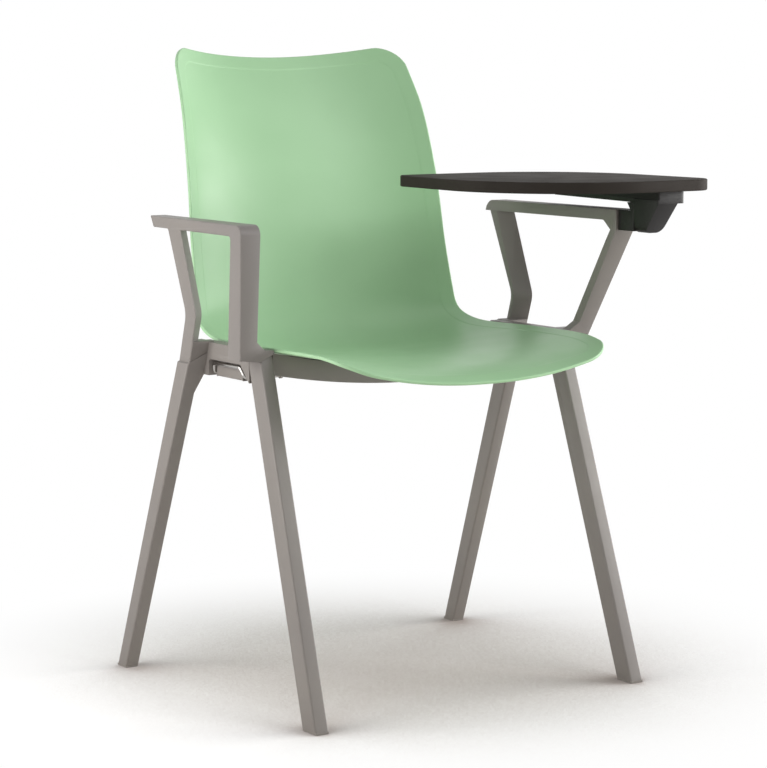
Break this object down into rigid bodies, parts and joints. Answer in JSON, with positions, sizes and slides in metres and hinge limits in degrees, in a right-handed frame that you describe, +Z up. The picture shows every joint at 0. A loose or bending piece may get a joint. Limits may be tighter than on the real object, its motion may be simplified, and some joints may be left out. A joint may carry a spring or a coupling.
{
  "type": "stacking armchair with folding writing tablet",
  "caption": "Stacking chair with a one-piece moulded shell, side frames with closed arms, a lift-up writing tablet and a pull-out link hook.",
  "frame": {"origin": "middle of the whole chair's box, on the floor", "axes": "+X to the sitter's left, +Y to the back of the chair, +Z up; the sitter faces -Y"},
  "size_m": [0.6312, 0.5926, 0.853],
  "materials": {
    "shell_plastic": "moulded polypropylene, mint green, satin",
    "frame_plastic": "moulded glass-filled plastic, warm grey, fine matt grain",
    "glide_plastic": "moulded glide, warm grey",
    "tablet_board": "solid laminate board, dark brown-grey, matt",
    "black_plastic": "moulded black plastic, matt",
    "chromed_wire": "chromed steel wire",
    "pin_steel": "ground steel pin",
    "zinc_steel": "zinc-plated screws"
  },
  "bodies": {
    "chair": {"arm_bolt_front_left": "zinc_steel", "arm_bolt_front_right": "zinc_steel", "arm_bolt_rear_left": "zinc_steel", "arm_bolt_rear_right": "zinc_steel", "arm_left": "frame_plastic", "arm_right": "frame_plastic", "beam_bolt_front_left": "zinc_steel", "beam_bolt_front_right": "zinc_steel", "beam_bolt_rear_left": "zinc_steel", "beam_bolt_rear_right": "zinc_steel", "bracket_bolt_lower": "zinc_steel", "bracket_bolt_upper": "zinc_steel", "front_beam": "frame_plastic", "glide_front_left": "glide_plastic", "glide_front_right": "glide_plastic", "glide_rear_left": "glide_plastic", "glide_rear_right": "glide_plastic", "hinge_bracket": "black_plastic", "rear_beam": "frame_plastic", "seat_screw_front_left": "zinc_steel", "seat_screw_front_right": "zinc_steel", "seat_screw_rear_left": "zinc_steel", "seat_screw_rear_right": "zinc_steel", "seat_shell": "shell_plastic", "side_frame_left": "frame_plastic", "side_frame_right": "frame_plastic"},
    "tablet": {"tablet_top": "tablet_board", "tablet_carrier": "black_plastic", "tablet_screw_1": "zinc_steel", "tablet_screw_2": "zinc_steel", "tablet_screw_3": "zinc_steel", "hinge_pin": "pin_steel"},
    "hook": {"link_hook": "chromed_wire"}
  },
  "joints": [
    {"name": "tablet_hinge", "type": "hinge", "parent": "chair", "child": "tablet", "pos_m": [0.2393, -0.2302, 0.626], "axis": [0, 1, 0], "range_deg": [0, 100]},
    {"name": "hook_slide", "type": "slide", "parent": "chair", "child": "hook", "axis": [-1, 0, 0], "range_m": [0, 0.0395]}
  ]
}
